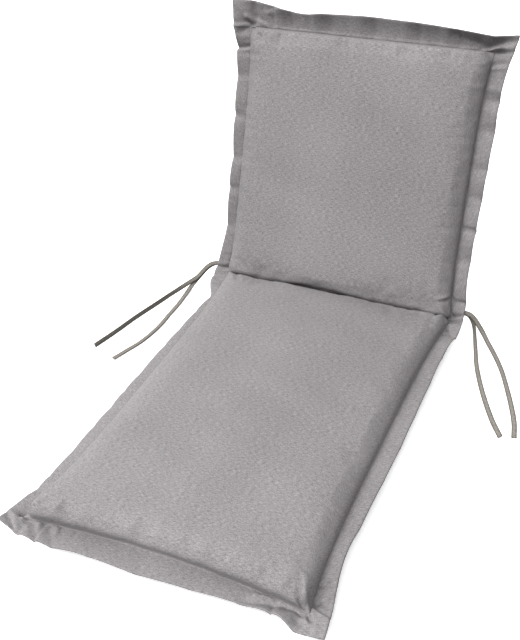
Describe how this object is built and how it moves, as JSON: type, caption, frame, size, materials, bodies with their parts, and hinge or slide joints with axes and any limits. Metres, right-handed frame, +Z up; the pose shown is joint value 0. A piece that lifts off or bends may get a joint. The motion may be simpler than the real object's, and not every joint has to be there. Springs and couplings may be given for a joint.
{
  "type": "multi-position chair cushion",
  "caption": "Two-section filled cushion for a reclining garden chair, bent at its sewn fold, with a flat flange all round and tie tapes at the sides.",
  "frame": {"origin": "centre of the seat section's flat underside, on the surface it rests on", "axes": "+Y from the front of the seat towards the fold, +Z up, +X to the right seen from the front"},
  "size_m": [0.7429, 0.8769, 0.5015],
  "materials": {
    "cover_fabric": "matt woven polyester in mottled warm grey",
    "tie_tape": "matt narrow woven tape in greenish grey"
  },
  "bodies": {
    "root": {"cushion": "cover_fabric", "tie_left_long": "tie_tape", "tie_left_short": "tie_tape", "tie_right_outer": "tie_tape", "tie_right_inner": "tie_tape"}
  },
  "joints": []
}
